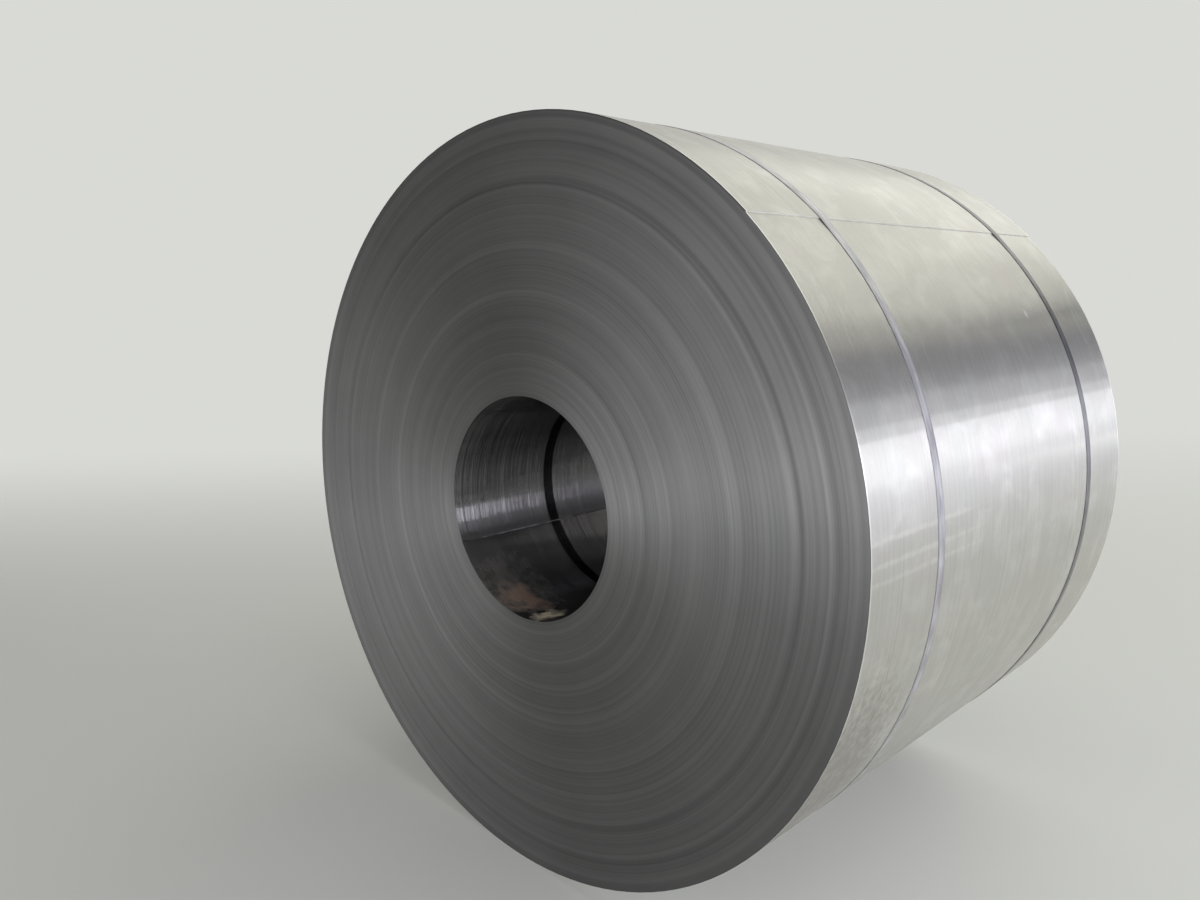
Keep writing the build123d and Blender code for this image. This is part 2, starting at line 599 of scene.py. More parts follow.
@dataclass(frozen=True)
class BoreSkin(RolledSkin):
    """The same strip inside the bore, rubbed by the mandrel. Its colours are darker than
    outside:
    partly oil, partly painted shade of the dark inside.

    Fine lines run round it and tip the skin to and fro, so that it draws a lamp out along
    the whole bore as one narrow gleam. Real lines are too fine to show, so these are drawn
    coarser. A dark band with crisp edges runs round it too.

    Attributes:
        tip: how far the lines tip the skin, as a slope along the axis.
    """

    name: str = "oiled_and_shaded_bore_skin_steel"
    wiped: float = 0.0
    fray: float = 28 * MM
    # Darker copies of the outside's colours: partly oil, partly painted shade of the bore.
    dull: str = "#828085"
    bright: str = "#9a989d"
    pink_oil: str = "#8f8784"
    green_oil: str = "#858b83"
    mirror_roughness: float = 0.20
    haze: float = 0.12
    streak_pitch: float = 5 * MM
    broad_pitch: float = 60 * MM
    line_pitch: float = 0.3 * MM
    tip: float = 1.2
    band: str = "#1d1d20"
    band_middle: float = -0.325
    band_half_width: float = 0.016

    def bare(self, nodes: Nodes, uv: Node, place: NodeSocket) -> Node:
        """Colour of the strip, darker within the band.

        Args:
            nodes: the finish's nodes.
            uv: place across and along the strip.
            place: place on the object.

        Returns:
            The colour.
        """
        bare = RolledSkin.bare(self, nodes, uv, place)
        y = nodes.add("SeparateXYZ", {"Vector": place}).outputs["Y"]
        inside = nodes.add("Math", {
            0: y, 1: self.band_middle, 2: self.band_half_width,
        }, operation="COMPARE")
        return nodes.add("Mix", {
            "Factor": inside, "A": bare, "B": self.band,
        }, data_type="RGBA")

    def normal(self, nodes: Nodes, uv: Node, fine: Node) -> Node:
        """Normal of the skin, tipped to and fro along the axis by the fine lines.

        Args:
            nodes: the finish's nodes.
            uv: place across and along the strip.
            fine: not used; the streaks' relief doesn't show here.

        Returns:
            The normal.
        """
        lines = nodes.streaks(uv, self.line_pitch, self.streak_length)
        slope = nodes.add("MapRange", {
            "Value": lines, "From Min": 0.25, "From Max": 0.75, "To Min": -self.tip,
            "To Max": self.tip,
        })
        along = nodes.add("CombineXYZ", {"Y": slope})
        plain = nodes.add("NewGeometry").outputs["Normal"]
        tipped = nodes.add("VectorMath", {0: plain, 1: along}, operation="ADD")
        return nodes.add("VectorMath", {0: tipped}, operation="NORMALIZE")


@dataclass(frozen=True)
class ShearedTail(Finish):
    """Cut end of the strip, sheared across, in matt near white: painted light, so that the
    step's shade hardly shows.
    """

    name: str = "sheared_end_painted_light"
    colour: str = "#fbfaf4"
    burr: str = "#ecebe4"
    burr_length: float = 20 * MM
    roughness: float = 0.62

    def shader(self, nodes: Nodes) -> Node:
        """Matt near white surface, painted light, with a burr that comes and goes along the
        cut.

        Args:
            nodes: the finish's nodes.

        Returns:
            The shader.
        """
        place = nodes.add("TexCoord").outputs["Object"]
        burrs = nodes.add("TexNoise", {
            "Vector": place, "Scale": 1 / self.burr_length, "Detail": 3.0,
        })
        colour = nodes.add("Mix", {
            "Factor": burrs, "A": self.burr, "B": self.colour,
        }, data_type="RGBA")
        return nodes.add("BsdfPrincipled", {
            "Base Color": colour, "Metallic": 0.0, "Roughness": self.roughness,
        })


@dataclass(frozen=True)
class StrappingSteel(Finish):
    """Flat rolled high tensile strapping: dull grey, mottled by wear, its edges rolled and
    darker, which is painted shade.
    """

    middle: str
    worn: str
    # The edge colour is darker than the middle: painted shade along the strap's edges.
    edge: str
    roughness: float
    anisotropy: float
    half_width: float = 12.7 * MM

    def shader(self, nodes: Nodes) -> Node:
        """Metal with fine streaks and patches of wear, and near its edges a darker colour,
        painted shade.

        Args:
            nodes: the finish's nodes.

        Returns:
            The shader.
        """
        uv = nodes.add("UVMap", uv_map=ACROSS_UV)
        across = nodes.add("SeparateXYZ", {"Vector": uv}).outputs["X"]
        off_middle = nodes.add("Math", {0: across}, operation="ABSOLUTE")
        shaded_edge_share = nodes.add("MapRange", {
            "Value": off_middle, "From Min": 0.72 * self.half_width,
            "From Max": 0.98 * self.half_width,
        })
        both = nodes.add("Mix", {
            "Factor": 0.6, "A": nodes.streaks(uv, 3 * MM, 150 * MM, roughness=0.5),
            "B": nodes.streaks(uv, 22 * MM, 70 * MM, detail=3.0, roughness=0.5),
        }, data_type="FLOAT")
        share = nodes.add("MapRange", {"Value": both, "From Min": 0.38, "From Max": 0.62})
        worn = nodes.add("Mix", {
            "Factor": share, "A": self.worn, "B": self.middle,
        }, data_type="RGBA")
        # Painted shade: the colour darkens towards the strap's edges.
        colour = nodes.add("Mix", {
            "Factor": shaded_edge_share, "A": worn, "B": self.edge,
        }, data_type="RGBA")
        tangent = nodes.add("Tangent", direction_type="UV_MAP", uv_map=ACROSS_UV)
        return nodes.add("BsdfPrincipled", {
            "Base Color": colour, "Metallic": 1.0, "Roughness": self.roughness,
            "Anisotropic": self.anisotropy, "Tangent": tangent,
        })


@dataclass(frozen=True)
class SealSteel(Finish):
    """Pressed sheet steel of the seals, satin, scuffed by the crimping jaws."""

    name: str = "pressed_seal_sheet_steel"
    colour: str = "#b4b4b8"
    scuffed: str = "#949498"
    scuff: float = 6 * MM
    roughness: float = 0.34

    def shader(self, nodes: Nodes) -> Node:
        """Metal with scuffs a few millimetres across.

        Args:
            nodes: the finish's nodes.

        Returns:
            The shader.
        """
        place = nodes.add("TexCoord").outputs["Object"]
        scuffs = nodes.add("TexNoise", {
            "Vector": place, "Scale": 1 / self.scuff, "Detail": 4.0,
        })
        share = nodes.add("MapRange", {"Value": scuffs, "From Min": 0.45, "From Max": 0.65})
        colour = nodes.add("Mix", {
            "Factor": share, "A": self.colour, "B": self.scuffed,
        }, data_type="RGBA")
        return nodes.add("BsdfPrincipled", {
            "Base Color": colour, "Metallic": 1.0, "Roughness": self.roughness,
        })


class Face(Enum):
    """The faces of the coil, numbered as its finishes are."""

    ENDS = 0
    OUTSIDE = 1
    BORE = 2
    TAIL = 3


@dataclass
class WoundCoil:
    """The coil: one strip wound on itself, whose turns show on both ends.

    Attributes:
        middle_y: middle of the strip's width where its turns aren't shifted.
        strap_places: where the straps hold the tail down, along the axis.
        groups: groups of turns from the bore out, as the share of the build-up that each
            one reaches and how far it stands along the axis.
        rings: darker and brighter rings on the ends, as radius over the outer radius,
            half-width over the same, and change of tone.
        columns: points round one turn, before those near the strip's two ends are added.
        wall_rows: faces along the outside and along the bore.
        border_turns, border_lead: turns from one group to the next, and the share of them
            that lies before the border.
        unevenness: how far single turns stand out of their group.
        tail_lift: how far the tail springs off the turn below, between and beside the straps.
        lift_reach: angle past the tail over which it lies down again.
        held, freed: distance from a strap's middle over which it is held, and then let go.
    """

    winding: Winding
    middle_y: float
    width: float
    strap_places: tuple[float, ...]
    groups: tuple[tuple[float, float], ...] = (
        (0.06, 1.4 * MM), (0.11, 0.6 * MM), (0.18, 1.1 * MM), (0.29, 0.3 * MM),
        (0.38, 0.9 * MM), (0.53, 0.5 * MM), (0.61, 1.2 * MM), (0.76, 0.7 * MM),
        (0.785, 2.5 * MM), (0.88, 0.9 * MM), (0.91, 1.6 * MM), (0.95, 0.4 * MM),
        (1.0, 0.0),
    )
    rings: tuple[tuple[float, float, float], ...] = (
        (0.999, 0.0022, -0.42), (0.988, 0.006, -0.10), (0.972, 0.008, 0.09),
        (0.928, 0.008, -0.09), (0.912, 0.004, 0.08), (0.841, 0.009, -0.17),
        (0.820, 0.005, 0.07), (0.728, 0.003, 0.07), (0.700, 0.004, -0.08),
        (0.670, 0.012, 0.05), (0.565, 0.008, 0.06), (0.505, 0.008, -0.06),
        (0.472, 0.010, 0.06), (0.425, 0.008, -0.06), (0.400, 0.010, 0.05),
        (0.355, 0.006, -0.05), (0.330, 0.010, 0.08),
    )
    columns: int = 144
    wall_rows: int = 24
    border_turns: float = 5.0
    border_lead: float = 0.3
    unevenness: float = 0.018 * MM
    plain_tone: float = 0.42
    head_tone: float = 0.40
    tail_lift: float = 0.2 * MM
    lift_reach: float = 3.0
    held: float = 30 * MM
    freed: float = 150 * MM
    seed: int = 7

    def shares(self) -> np.ndarray:
        """Shares of a turn at which it has points: even steps, closer at the strip's ends.

        Returns:
            The shares, in order.
        """
        even = np.arange(self.columns) / self.columns
        near_tail = np.array([0.25, 0.5, 0.9, 1.4, 2.0]) / 360.0
        climb = self.winding.climb(self.winding.bore_radius) / 360.0
        near_head = self.winding.head_share + climb * np.array([0.0, 0.5, 1.0])
        apart = np.abs(even[:, None] - near_head).min(axis=1) > 0.3 / 360.0
        return np.unique(np.concatenate([even[apart], near_tail, near_head]))

    def shift(self, turns: np.ndarray) -> np.ndarray:
        """Distance along the axis by which the turns stand out of the plain end.

        Between two groups it changes by a smooth step over a few turns, and seeded noise for
        the single turns is added. It stays between the groups' least and largest shift.

        Args:
            turns: how often the strip has gone round since the tail.

        Returns:
            The shift at each of them.
        """
        shifts = [shift for _, shift in self.groups]
        moved = np.full_like(turns, shifts[-1])
        for (reached, shift), outer_shift in zip(self.groups, shifts[1:]):
            border = (1.0 - reached) * self.winding.layers
            past = (turns - border) / self.border_turns
            moved += (shift - outer_shift) * smooth_step(past + self.border_lead)
        rng = np.random.default_rng(self.seed)
        per_turn = len(turns) / turns[-1]
        moved += self.unevenness * even_noise(rng, len(turns), 0.3 * per_turn)
        return np.clip(moved, min(shifts), max(shifts))

    def tone(self, turns: np.ndarray) -> np.ndarray:
        """Tone of the strip's edge, from 0, torn and dull, to 1, cut and bright.

        Rings add bell curves of the radius. Seeded noise adds batches of a few turns, and
        the drift of each single turn along its own length.

        Args:
            turns: how often the strip has gone round since the tail.

        Returns:
            The tone at each of them.
        """
        share = self.winding.radius(turns) / self.winding.outer_radius
        rng = np.random.default_rng(self.seed + 1)
        per_turn = len(turns) / turns[-1]
        tone = np.full_like(turns, self.plain_tone)
        for middle, half_width, change in self.rings:
            tone += change * np.exp(-((share - middle) / half_width) ** 2)
        for strength, reach in ((0.022, 6.0), (0.045, 0.12)):
            tone += strength * even_noise(rng, len(turns), reach * per_turn)
        return np.clip(tone, 0.0, 1.0)

    def lift(self, angle: np.ndarray, y: np.ndarray) -> np.ndarray:
        """How far the tail springs off: most at its edge, none under a strap.

        It is the lift * (1 - angle / reach)², and a smooth step of the distance from each
        strap, which starts where it is no longer held.

        Args:
            angle: angle past the tail.
            y: place along the axis.

        Returns:
            The lift at each place.
        """
        free = np.ones_like(y)
        for strap in self.strap_places:
            beyond = np.abs(y - strap) - self.held
            free = np.minimum(free, smooth_step(beyond / self.freed))
        return self.tail_lift * free * np.clip(1.0 - angle / self.lift_reach, 0.0, 1.0) ** 2

    def across_along(self, corners: np.ndarray, on_end: np.ndarray) -> np.ndarray:
        """Map of the corners of the faces, in metres.

        Along the strip it is the angle since the tail times the face's mean radius. Across
        it is the place along the axis, or on the ends the radius.

        Args:
            corners: place of each corner of each face.
            on_end: whether each face is on an end.

        Returns:
            Metres across and along for each corner.
        """
        offset = corners - np.array([self.winding.axis_x, 0.0, self.winding.axis_z])
        reach = np.hypot(offset[..., 0], offset[..., 2])
        about = np.degrees(np.arctan2(offset[..., 2], offset[..., 0]))
        about = (about - self.winding.tail_angle + 1e-3) % 360.0
        past_turn = about - about.min(axis=1, keepdims=True) > 180.0
        about = np.where(past_turn, about - 360.0, about)
        along = np.radians(about) * reach.mean(axis=1, keepdims=True)
        across = np.where(on_end[:, None], reach, corners[..., 1])
        return np.stack([across, along], axis=-1)

    def piece(self, finishes: dict[Face, Material]) -> Object:
        """Build the closed mesh of the coil and dress it.

        The points of one end lie along the spiral, so that those one turn apart are
        neighbours. The outside joins the first turn of both ends, and the bore the last.

        Args:
            finishes: the material of each face.

        Returns:
            The coil.
        """
        winding = self.winding
        shares = self.shares()
        around = len(shares)
        head_column = int(np.argmin(np.abs(shares - winding.head_share)))
        count = winding.layers * around + head_column + 1
        turns = (np.arange(winding.layers + 1)[:, None] + shares).ravel()[:count]
        radius = winding.radius(turns)
        angle = winding.tail_angle + 360.0 * turns
        shift = self.shift(turns)
        front_y = self.middle_y - self.width / 2 + shift
        rear_y = self.middle_y + self.width / 2 + shift
        outer = np.arange(around + 1)
        inner = np.arange(count - 1 - around, count)

        down = np.linspace(0.0, 1.0, self.wall_rows + 1)[:, None] * self.width
        wall_y = front_y[outer] + down
        wall_radius = radius[outer] + self.lift(360.0 * turns[outer], wall_y)
        wall = winding.points(wall_radius, angle[outer], wall_y)
        bore = winding.points(radius[inner], angle[inner], front_y[inner] + down)
        front = winding.points(radius, angle, front_y)
        rear = winding.points(radius, angle, rear_y)
        front[outer], rear[outer] = wall[0], wall[-1]
        points = np.concatenate([
            front, rear, wall[1:-1].reshape(-1, 3), bore[1:-1].reshape(-1, 3),
        ])

        def rows(edge: np.ndarray, start: int) -> np.ndarray:
            """Numbers of a wall's points, whose first and last rows are edges of the ends."""
            between = np.arange((self.wall_rows - 1) * len(edge)).reshape(-1, len(edge))
            return np.concatenate([edge[None], between + start, edge[None] + count])

        wall_rows = rows(outer, 2 * count)
        bore_rows = rows(inner, 2 * count + (self.wall_rows - 1) * len(outer))
        first = np.arange(count - around - 1)
        ring = np.stack([first, first + around, first + around + 1, first + 1], axis=-1)
        blocks = (
            (ring, Face.ENDS), (ring[:, ::-1] + count, Face.ENDS),
            (grid_quads(wall_rows)[:, ::-1], Face.OUTSIDE),
            (grid_quads(wall_rows[:, [-1, 0]])[:, ::-1], Face.TAIL),
            (grid_quads(bore_rows), Face.BORE),
            (grid_quads(bore_rows[:, [0, -1]]), Face.ENDS),
        )
        quads = np.concatenate([block for block, _ in blocks])
        slots = np.concatenate([np.full(len(block), face.value) for block, face in blocks])
        uvs = self.across_along(points[quads], slots == Face.ENDS.value)
        piece = mesh_piece("coil_wound", points, quads, uvs,
                           [finishes[face] for face in Face], slots, sharp_angle=24.0)
        values = np.full(len(points), self.head_tone, dtype=np.float32)
        values[:2 * count] = np.tile(self.tone(turns), 2)
        layer = piece.data.attributes.new(EDGE_TONE, "FLOAT", "POINT")
        layer.data.foreach_set("value", values)
        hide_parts("coil")
        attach(piece, BODY)
        return piece


@dataclass
class Strap:
    """A tight steel strap: it starts under its seal, goes once round and ends over itself.

    Attributes:
        node: the CAD node that it stands for.
        lean: how far it stands out of square to the axis, where it leans most.
        seal_angle: where its ends lap.
        lean_angle: where it lies furthest towards the front.
        lap: length over which its ends lie over each other.
        edge: radius of its rolled edges.
        climb: angle over which it climbs over its own start.
    """

    winding: Winding
    node: str
    middle_y: float
    lean: float
    seal_angle: float
    lean_angle: float = 52.0
    width: float = 25.4 * MM
    gauge: float = 0.9 * MM
    lap: float = 150 * MM
    edge: float = 0.35 * MM
    climb: float = 2.4
    steps: int = 240

    @property
    def lap_angle(self) -> float:
        """Angle over which its ends lie over each other."""
        return float(np.degrees(self.lap / self.winding.outer_radius))

    @property
    def start(self) -> float:
        """Angle at which it starts, half of the lap before its seal."""
        return self.seal_angle - self.lap_angle / 2

    def middle(self, angle: np.ndarray | float) -> np.ndarray:
        """Place of its middle along the axis, as mean - lean * cos(angle from the lean)."""
        return self.middle_y - self.lean * np.cos(np.radians(angle - self.lean_angle))

    def slope(self, angle: float) -> float:
        """Angle by which the strap runs along the axis as it goes round, in degrees."""
        rise = self.lean * np.sin(np.radians(angle - self.lean_angle))
        return float(np.degrees(np.arctan2(rise, self.winding.outer_radius)))

    def inner_face(self, angle: np.ndarray) -> np.ndarray:
        """Radius of the strap's inner face.

        It is the tight band round the coil, and before one turn is full the strap climbs
        over its own start, by its gauge times a smooth step.

        Args:
            angle: angle since the strap's start.

        Returns:
            The radius at each angle.
        """
        climbed = smooth_step((angle - 360.0 + self.climb) / self.climb)
        return self.winding.band(self.start + angle) + self.gauge * climbed

    def piece(self, material: Material) -> Object:
        """Sweep the strap's section, a bar with rounded edges, along its inner face.

        Args:
            material: the strap's finish.

        Returns:
            The strap.
        """
        winding = self.winding
        tail_since = (winding.tail_angle - self.start) % 360.0
        bridge = winding.climb(winding.outer_radius - winding.thickness)
        along = np.unique(np.concatenate([
            np.linspace(0.0, 360.0 + self.lap_angle, self.steps),
            tail_since + np.linspace(-bridge, 1.0, 9),
            360.0 + np.linspace(-self.climb, 0.2, 7),
        ]))
        turn = np.radians(np.linspace(0.0, 90.0, 3))
        cos, sin = self.edge * np.cos(turn), self.edge * np.sin(turn)
        side, top = self.width / 2 - self.edge, self.gauge - self.edge
        across = np.concatenate([side + cos, -side - sin, -side - cos, side + sin])
        out = np.concatenate([top + sin, top + cos, self.edge - sin, self.edge - cos])
        angle = (self.start + along)[:, None]
        points = winding.points(self.inner_face(along)[:, None] + out, angle,
                                self.middle(angle) + across)
        piece = swept_piece(f"{self.node}_band", points, across,
                            np.radians(along) * winding.outer_radius, material, 50.0)
        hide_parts(self.node)
        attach(piece, BODY)
        return piece


@dataclass
class Seal:
    """A seal: sheet steel folded down over both layers of strap and crimped twice.

    Attributes:
        node: the CAD node that it stands for.
        slope: angle by which its strap runs along the axis there.
        inside: half of the width between its folded sides.
        height: height of the two layers of strap inside it.
        clearance: gap between its lower edges and the coil.
        crimp_depth: how far a crimp presses the top of the sides in.
        flat: share of its width that stays flat at a crimp.
        sink: how far the sides sink there, as a share of how far they go in.
    """

    winding: Winding
    node: str
    middle_y: float
    slope: float
    angle: float
    length: float = 50 * MM
    inside: float = 13.0 * MM
    gauge: float = 1.2 * MM
    height: float = 1.85 * MM
    clearance: float = 0.3 * MM
    crimp_spacing: float = 22 * MM
    crimp_length: float = 6 * MM
    crimp_depth: float = 0.9 * MM
    flat: float = 0.72
    sink: float = 0.45

    def piece(self, material: Material) -> Object:
        """Sweep the folded section along the strap, its sides pressed in at the crimps.

        Each crimp is a bell curve exp(-(distance / half its length)²) along the seal.

        Args:
            material: the seal's finish.

        Returns:
            The seal.
        """
        winding = self.winding
        outside = self.inside + self.gauge
        top = self.height + self.gauge
        bend = np.radians(np.linspace(0.0, 90.0, 5))
        fold_across = np.append(outside, self.inside + self.gauge * np.cos(bend))
        fold_out = np.append(self.clearance, self.height + self.gauge * np.sin(bend))
        inner_across = np.array([self.inside, self.inside])
        inner_out = np.array([self.height, self.clearance])
        across = np.concatenate([
            fold_across, np.linspace(0.8, -0.8, 9) * self.inside, -fold_across[::-1],
            -inner_across, inner_across,
        ])
        out = np.concatenate([
            fold_out, np.full(9, top), fold_out[::-1], inner_out[::-1], inner_out,
        ])
        along = np.linspace(-0.5, 0.5, 58) * self.length
        crimps = np.array([-0.5, 0.5]) * self.crimp_spacing
        pressed = np.exp(-((along[:, None] - crimps) / (self.crimp_length / 2)) ** 2)
        past_flat = (np.abs(across) / outside - self.flat) / (1.0 - self.flat)
        at_side = smooth_step(past_flat)
        at_side[-4:] = 0.0
        sunk = self.crimp_depth * pressed.sum(axis=1)[:, None] * at_side
        moved = across - np.sign(across) * sunk
        slant = np.radians(self.slope)
        ahead = along[:, None] * np.cos(slant) - moved * np.sin(slant)
        aside = along[:, None] * np.sin(slant) + moved * np.cos(slant)
        points = winding.points(winding.skin(self.angle) + out - self.sink * sunk,
                                self.angle + np.degrees(ahead / winding.outer_radius),
                                self.middle_y + aside)
        piece = swept_piece(f"{self.node}_sleeve", points, across, along, material, 40.0)
        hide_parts(self.node)
        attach(piece, BODY)
        return piece


@dataclass(frozen=True)
class Softbox:
    """A soft studio lamp: a glowing rectangle that faces a point straight ahead."""

    name: str
    middle: tuple[float, float, float]
    facing: tuple[float, float, float]
    size: tuple[float, float]
    radiance: float
    colour: str = "#ffffff"

    def build(self) -> None:
        """Add the lamp, its power worked out as radiance times pi times area."""
        lamp = bpy.data.lights.new(self.name, "AREA")
        lamp.shape = "RECTANGLE"
        lamp.size, lamp.size_y = self.size
        lamp.energy = self.radiance * np.pi * self.size[0] * self.size[1]
        lamp.color = linear(self.colour)[:3]
        away = -Vector(self.facing).normalized()
        long_way = Vector((0.0, 1.0, 0.0)) if abs(away.y) < 0.9 else Vector((0.0, 0.0, 1.0))
        side = long_way.cross(away).normalized()
        axes = Matrix((side, away.cross(side), away)).transposed()
        holder = bpy.data.objects.new(self.name, lamp)
        holder.matrix_world = Matrix.Translation(self.middle) @ axes.to_4x4()
        holder.visible_camera = False
        bpy.context.scene.collection.objects.link(holder)


def strip_lamp(name: str, low: float, high: float, near: float, far: float,
               radiance: float, colour: str, reach: float = 4.0,
               height: float = 0.85) -> Softbox:
    """Lamp along the coil, on a tunnel of lamps about its axis.

    Args:
        name: the lamp's name.
        low: angle about the axis at which it starts.
        high: angle at which it ends.
        near: place of its front end along the axis.
        far: place of its rear end.
        radiance: how bright it is.
        colour: its colour.
        reach: radius of the tunnel.
        height: height of the tunnel's axis.

    Returns:
        The lamp, facing the axis.
    """
    middle = np.radians((low + high) / 2)
    width = 2 * reach * np.tan(np.radians(high - low) / 2)
    out = (np.cos(middle), np.sin(middle))
    return Softbox(name, (reach * out[0], (near + far) / 2, height + reach * out[1]),
                   (-out[0], 0.0, -out[1]), (width, far - near), radiance, colour)


@dataclass(frozen=True)
class StudioPaint(Finish):
    """Matt pale paint on the floor and the backdrop.

    Far behind the coil it turns into an even pale tone, which only the camera and
    reflections see, so that the background is pale without any more light on the coil.

    Attributes:
        behind: direction in which the tone sets in.
        fade: how far along that direction it sets in, and where it is reached.
        least: share of the tone before it sets in.
    """

    name: str = "matt_pale_floor_paint"
    colour: str = "#e9eae5"
    backdrop: str = "#d9dad6"
    behind: tuple[float, float, float] = (-0.85, 0.45, 0.90)
    fade: tuple[float, float] = (0.8, 4.5)
    least: float = 0.12
    roughness: float = 0.55

    def shader(self, nodes: Nodes) -> Node:
        """Paint, and over it the tone that only camera, mirror and glass rays see.

        Args:
            nodes: the finish's nodes.

        Returns:
            The shader.
        """
        paint = nodes.add("BsdfPrincipled", {
            "Base Color": self.colour, "Roughness": self.roughness,
        })
        rays = nodes.add("LightPath").outputs
        seen = rays["Is Camera Ray"]
        for ray in ("Is Glossy Ray", "Is Transmission Ray"):
            seen = nodes.add("Math", {0: seen, 1: rays[ray]}, operation="MAXIMUM")
        place = nodes.add("TexCoord").outputs["Object"]
        behind = nodes.add("VectorMath", {0: place, 1: self.behind}, operation="DOT_PRODUCT")
        far = nodes.add("MapRange", {
            "Value": behind, "From Min": self.fade[0], "From Max": self.fade[1],
            "To Min": self.least,
        }, interpolation_type="SMOOTHSTEP")
        share = nodes.add("Math", {0: seen, 1: far}, operation="MULTIPLY")
        tone = nodes.add("Emission", {"Color": self.backdrop})
        return nodes.add("MixShader", {"Fac": share, 1: paint, 2: tone})


@dataclass
class Studio:
    """Pale floor that sweeps up into a backdrop, with soft lamps and a grey surround.

    Attributes:
        near, far: where its floor starts and its wall stands, before and behind the coil.
        cove: radius between its floor and its wall.
        facing: direction in which the camera looks over the floor.
        floor: half of the side of the level floor all round.
    """

    width: float = 16.0
    near: float = -9.0
    far: float = 8.5
    cove: float = 2.2
    height: float = 6.5
    facing: tuple[float, float] = (-0.673, 0.740)
    floor: float = 40.0
    surround: float = 0.035

    def sheet(self, name: str, points: np.ndarray, paint: Material) -> None:
        """Stage a painted sheet through a grid of points.

        Args:
            name: the sheet's name.
            points: places, by row and column of the grid.
            paint: its finish.
        """
        quads = grid_quads(np.arange(points.size // 3).reshape(points.shape[:2]))
        flat = points[..., :2].reshape(-1, 2)
        mesh_piece(name, points.reshape(-1, 3), quads, flat[quads], [paint],
                            sharp_angle=60.0)

    def sweep(self) -> np.ndarray:
        """Floor, cove and wall in one grid: straight, a quarter circle, straight up.

        Returns:
            The places, from front to back and from side to side.
        """
        bend = np.radians(np.linspace(0.0, 90.0, 25))
        floor = np.linspace(self.near, self.far - self.cove, 12)[:-1]
        curve = self.far - self.cove + self.cove * np.sin(bend)
        rise = self.cove - self.cove * np.cos(bend)
        out = np.concatenate([floor, curve, [self.far]])[:, None]
        up = np.concatenate([np.zeros_like(floor), rise, [self.height]])[:, None]
        side = np.linspace(-0.5, 0.5, 9) * self.width
        ahead = np.array(self.facing) / np.hypot(*self.facing)
        return np.stack(np.broadcast_arrays(
            out * ahead[0] + side * ahead[1], out * ahead[1] - side * ahead[0], up,
        ), axis=-1)

    def apron(self) -> np.ndarray:
        """The level floor all round, a hair below the sweep."""
        x, y = np.meshgrid([-self.floor, self.floor], [-self.floor, self.floor])
        return np.stack([x, y, np.full_like(x, -0.002)], axis=-1)

    def world(self) -> None:
        """Surround everything with one plain grey."""
        world = bpy.data.worlds.new("plain_surround")
        bpy.context.scene.world = world
        world.use_nodes = True
        nodes = Nodes(world.node_tree)
        glow = nodes.add("Background", {"Color": "#ffffff", "Strength": self.surround})
        nodes.add("OutputWorld", {"Surface": glow})

    def lamps(self) -> list[Softbox]:
        """Lamps at the right and over the coil, as wide windows, and in front of its end.

        Returns:
            The lamps.
        """
        front, rear, far = -7.0, -1.5, 13.0
        ahead, warm, cool = (0.0, 1.0, 0.0), "#fffff7", "#f4f5ff"
        tubes = (61.0, 66.0, 71.0, 78.0, 86.0, 97.0, 110.0)
        return [
            strip_lamp("low_side", -11.0, 5.0, rear, far, 0.9, cool),
            strip_lamp("side_window_near", 5.0, 18.5, front, rear, 4.8, cool),
            strip_lamp("side_window_far", 5.0, 18.0, rear, far, 1.5, cool),
            strip_lamp("window_top", 18.0, 22.0, rear, far, 0.9, cool),
            strip_lamp("side_glow_near", 18.5, 30.0, front, rear, 1.0, cool),
            strip_lamp("side_glow", 22.0, 30.0, rear, far, 0.6, cool),
            strip_lamp("upper_side", 30.0, 45.0, rear, far, 0.32, cool),
            strip_lamp("shoulder", 45.0, 56.0, rear, far, 0.6, warm),
            strip_lamp("overhead", 56.0, 126.0, rear, far, 0.94, warm),
            Softbox("front_low", (0.75, -5.6, 0.525), ahead, (4.5, 0.95), 4.2),
            Softbox("front_left", (-1.5, -5.6, 1.5), ahead, (3.0, 1.0), 4.6),
            Softbox("front_high", (-3.25, -5.6, 2.6), ahead, (3.5, 1.2), 2.1),
            *(strip_lamp("roof_tube", angle - 0.8, angle + 0.8, rear, far, 0.3, warm)
              for angle in tubes),
        ]

    def build(self) -> None:
        """Put up the floor, the backdrop, the surround and the lamps."""
        paint = StudioPaint().material()
        self.sheet("studio_sweep", self.sweep(), paint)
        self.sheet("studio_floor", self.apron(), paint)
        self.world()
        for lamp in self.lamps():
            lamp.build()


@dataclass(frozen=True)
class PhotoCamera:
    """The camera, at the photograph's place over the floor and with its angle of view."""

    place: tuple[float, float, float] = (1.5763, -2.0618, 1.4348)
    azimuth: float = 43.43
    dip: float = 11.78
    roll: float = 2.33
    focal_pixels: float = 985.8
    photo_width: float = 1200.0
    sensor: float = 36.0

    def build(self) -> None:
        """Add the camera and make it the scene's own."""
        data = bpy.data.cameras.new("photo_camera")
        data.sensor_width = self.sensor
        data.lens = self.focal_pixels / self.photo_width * self.sensor
        turn, dip, roll = np.radians([self.azimuth, self.dip, self.roll])
        ahead = Vector((-np.sin(turn) * np.cos(dip), np.cos(turn) * np.cos(dip), -np.sin(dip)))
        right = ahead.cross(Vector((0.0, 0.0, 1.0))).normalized()
        up = right.cross(ahead)
        rolled_right = np.cos(roll) * right + np.sin(roll) * up
        rolled_up = np.cos(roll) * up - np.sin(roll) * right
        axes = Matrix((rolled_right, rolled_up, -ahead)).transposed()
        camera = bpy.data.objects.new("photo_camera", data)
        camera.matrix_world = Matrix.Translation(self.place) @ axes.to_4x4()
        bpy.context.scene.collection.objects.link(camera)
        bpy.context.scene.camera = camera


def along_strip(winding: Winding, angle: float, radius: float) -> float:
    """Metres along the surface from the tail's angle to this angle."""
    return float(np.radians((angle - winding.tail_angle) % 360.0) * radius)


